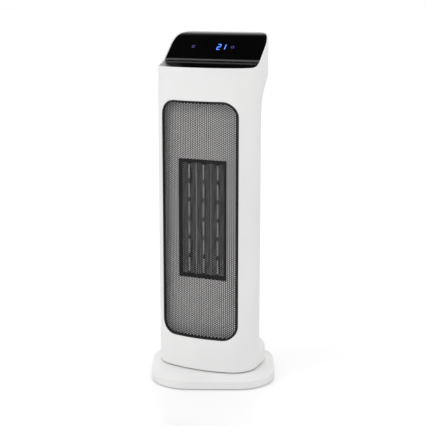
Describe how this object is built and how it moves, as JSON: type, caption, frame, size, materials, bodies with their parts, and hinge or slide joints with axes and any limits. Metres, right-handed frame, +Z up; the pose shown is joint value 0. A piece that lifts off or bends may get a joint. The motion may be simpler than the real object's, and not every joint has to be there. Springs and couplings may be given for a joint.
{
  "type": "ceramic tower heater",
  "caption": "Free-standing ceramic tower fan heater: a slim white column with a dark perforated outlet, a sloped gloss control panel and a rear filter, swinging on a low rounded base.",
  "frame": {"origin": "on the swivel axis where it meets the floor, under the middle of the base", "axes": "+Z up along the swivel axis, -Y the way the outlet grille faces at rest, +X to the right of someone looking at the grille; the base stands turned by 23 degrees about +Z under the tower"},
  "size_m": [0.2328, 0.2192, 0.6],
  "materials": {
    "white_plastic": "fine satin texture",
    "inner_white": "matt white paint",
    "gloss_black": "polished",
    "matt_black": "satin",
    "grille_black": "satin powder coat",
    "heat_black": "glass-filled heat-proof plastic",
    "fin_aluminium": "bare folded foil",
    "electrode_metal": "bare strip",
    "ceramic": "fired ceramic",
    "steel": "zinc-plated",
    "motor_steel": "plated can",
    "rubber": "matt",
    "gear_plastic": "moulded acetal",
    "fan_plastic": "moulded",
    "board_green": "solder mask",
    "relay_blue": "moulded",
    "filter_fabric": "fine nylon mesh"
  },
  "bodies": {
    "base": {"base_shell": "white_plastic", "base_plate": "white_plastic", "base_feet": "rubber", "base_screws": "steel", "gear_ring": "gear_plastic", "slide_ring": "gear_plastic", "tip_switch": "matt_black"},
    "plunger": {"tip_plunger": "gear_plastic"},
    "pinion": {"swing_pinion": "gear_plastic"},
    "blower": {"fan_wheel": "fan_plastic", "fan_shaft": "steel"},
    "filter": {"filter_cover": "white_plastic", "filter_mesh": "filter_fabric"},
    "rocker": {"power_rocker": "matt_black"},
    "tower": {"tower_floor": "white_plastic", "swivel_retainer": "steel", "floor_screws": "steel", "swing_motor": "motor_steel", "front_shell": "white_plastic", "rear_shell": "white_plastic", "shell_screws": "steel", "grille_frame": "matt_black", "front_grille": "grille_black", "inner_panel": "inner_white", "element_frame": "heat_black", "element_fins": "fin_aluminium", "element_stones": "ceramic", "element_electrodes": "electrode_metal", "element_dividers": "electrode_metal", "thermal_cutout": "heat_black", "blower_housing": "motor_steel", "top_bush": "rubber", "fan_motor": "motor_steel", "motor_bracket": "motor_steel", "power_board": "board_green", "power_relays": "relay_blue", "control_panel": "gloss_black", "hand_recess": "gloss_black", "display_module": "matt_black", "control_board": "board_green", "switch_housing": "matt_black", "cord_gland": "rubber"}
  },
  "joints": [
    {"name": "swivel", "type": "hinge", "parent": "base", "child": "tower", "pos_m": [0, 0, 0.025], "axis": [0, 0, 1], "range_deg": [-12, 58]},
    {"name": "pinion_spin", "type": "hinge", "parent": "tower", "child": "pinion", "pos_m": [0.0375, 0, 0.012], "axis": [0, 0, 1], "range_deg": [-48, 232]},
    {"name": "blower_spin", "type": "hinge", "parent": "tower", "child": "blower", "pos_m": [0, 0.009, 0.2855], "axis": [0, 0, 1], "continuous": true},
    {"name": "filter_pull", "type": "slide", "parent": "tower", "child": "filter", "axis": [0, 1, 0], "range_m": [0, 0.06]},
    {"name": "rocker_tilt", "type": "hinge", "parent": "tower", "child": "rocker", "pos_m": [0.026, 0.06, 0.037], "axis": [0, 0, 1], "range_deg": [-16, 0]},
    {"name": "tip_travel", "type": "slide", "parent": "base", "child": "plunger", "axis": [0, 0, 1], "range_m": [-0.005, 0], "stiffness_N_per_m": 60, "springref_m": -0.006}
  ],
  "couplings": [
    {"joint": "pinion_spin", "follows": "swivel", "ratio": 4}
  ]
}
